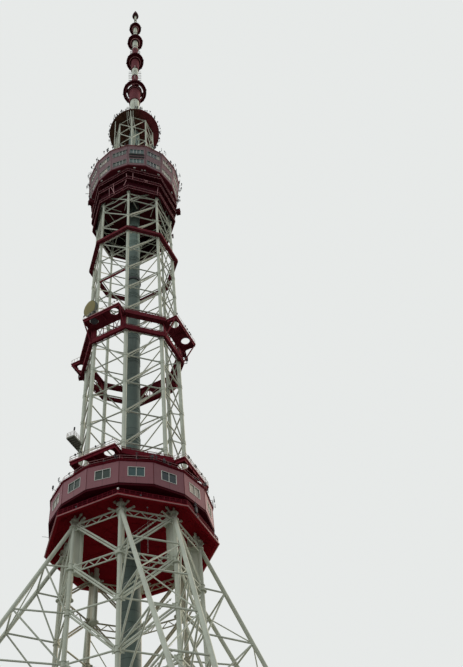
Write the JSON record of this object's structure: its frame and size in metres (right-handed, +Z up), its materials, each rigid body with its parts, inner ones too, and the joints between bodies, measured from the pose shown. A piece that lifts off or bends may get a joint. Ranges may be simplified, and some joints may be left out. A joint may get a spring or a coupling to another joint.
{
  "type": "scale model of a lattice radio mast",
  "caption": "Scale model of an eight-sided lattice radio mast on spread legs, with two round pods, gallery decks, a lift pipe and a stepped aerial mast.",
  "frame": {"origin": "on the ground at the middle of the tower", "axes": "+Z up along the mast; the four legs lie on the diagonals, and flat sides of the octagon face X and Y, with the drum aerial on the -Y side"},
  "size_m": [7.1022, 7.1022, 38.45],
  "materials": {
    "white_paint": "weathered gloss paint, grey white",
    "red_paint": "weathered satin paint, dark red",
    "rail_paint": "weathered satin paint, pale pink",
    "slate_paint": "matt paint, slate grey green",
    "wall_panels": "matt painted sheet, dusty mauve",
    "window_glass": "tinted glass, dark teal",
    "aerial_cover": "matt cover, olive grey",
    "concrete": "cast concrete, fair faced"
  },
  "bodies": {
    "root": {"leg_footings": "concrete", "trunk_plinth": "concrete", "leg_front_right": "white_paint", "leg_back_right": "white_paint", "leg_back_left": "white_paint", "leg_front_left": "white_paint", "leg_feet": "white_paint", "leg_ties": "white_paint", "base_columns": "white_paint", "column_joints": "white_paint", "base_sides_front_back": "white_paint", "base_sides_right_left": "white_paint", "base_sides_diagonal_a": "white_paint", "base_sides_diagonal_b": "white_paint", "lift_pipe": "slate_paint", "lower_soffit": "red_paint", "lower_gallery": "red_paint", "gallery_railing": "red_paint", "lower_plinth": "red_paint", "lower_floor": "red_paint", "lower_wall": "wall_panels", "lower_windows": "window_glass", "lower_roof": "red_paint", "crown_posts": "red_paint", "crown_deck": "red_paint", "shaft_columns": "white_paint", "shaft_sides_front_back": "white_paint", "shaft_sides_right_left": "white_paint", "shaft_sides_diagonal_a": "white_paint", "shaft_sides_diagonal_b": "white_paint", "mid_low_ring": "red_paint", "mid_posts": "red_paint", "mid_deck": "red_paint", "top_ring": "red_paint", "deck_edges": "red_paint", "walkway_railings": "red_paint", "platform_railings": "rail_paint", "drum_aerial": "aerial_cover", "side_platform": "aerial_cover", "upper_skirt": "red_paint", "skirt_rings": "red_paint", "upper_floor": "red_paint", "upper_wall": "wall_panels", "upper_windows": "window_glass", "upper_roof": "red_paint", "cage_columns": "white_paint", "cage_sides": "white_paint", "canopy": "red_paint", "mast_white_tubes": "white_paint", "mast_red_tubes": "red_paint", "mast_discs": "red_paint", "spike": "white_paint"}
  },
  "joints": []
}
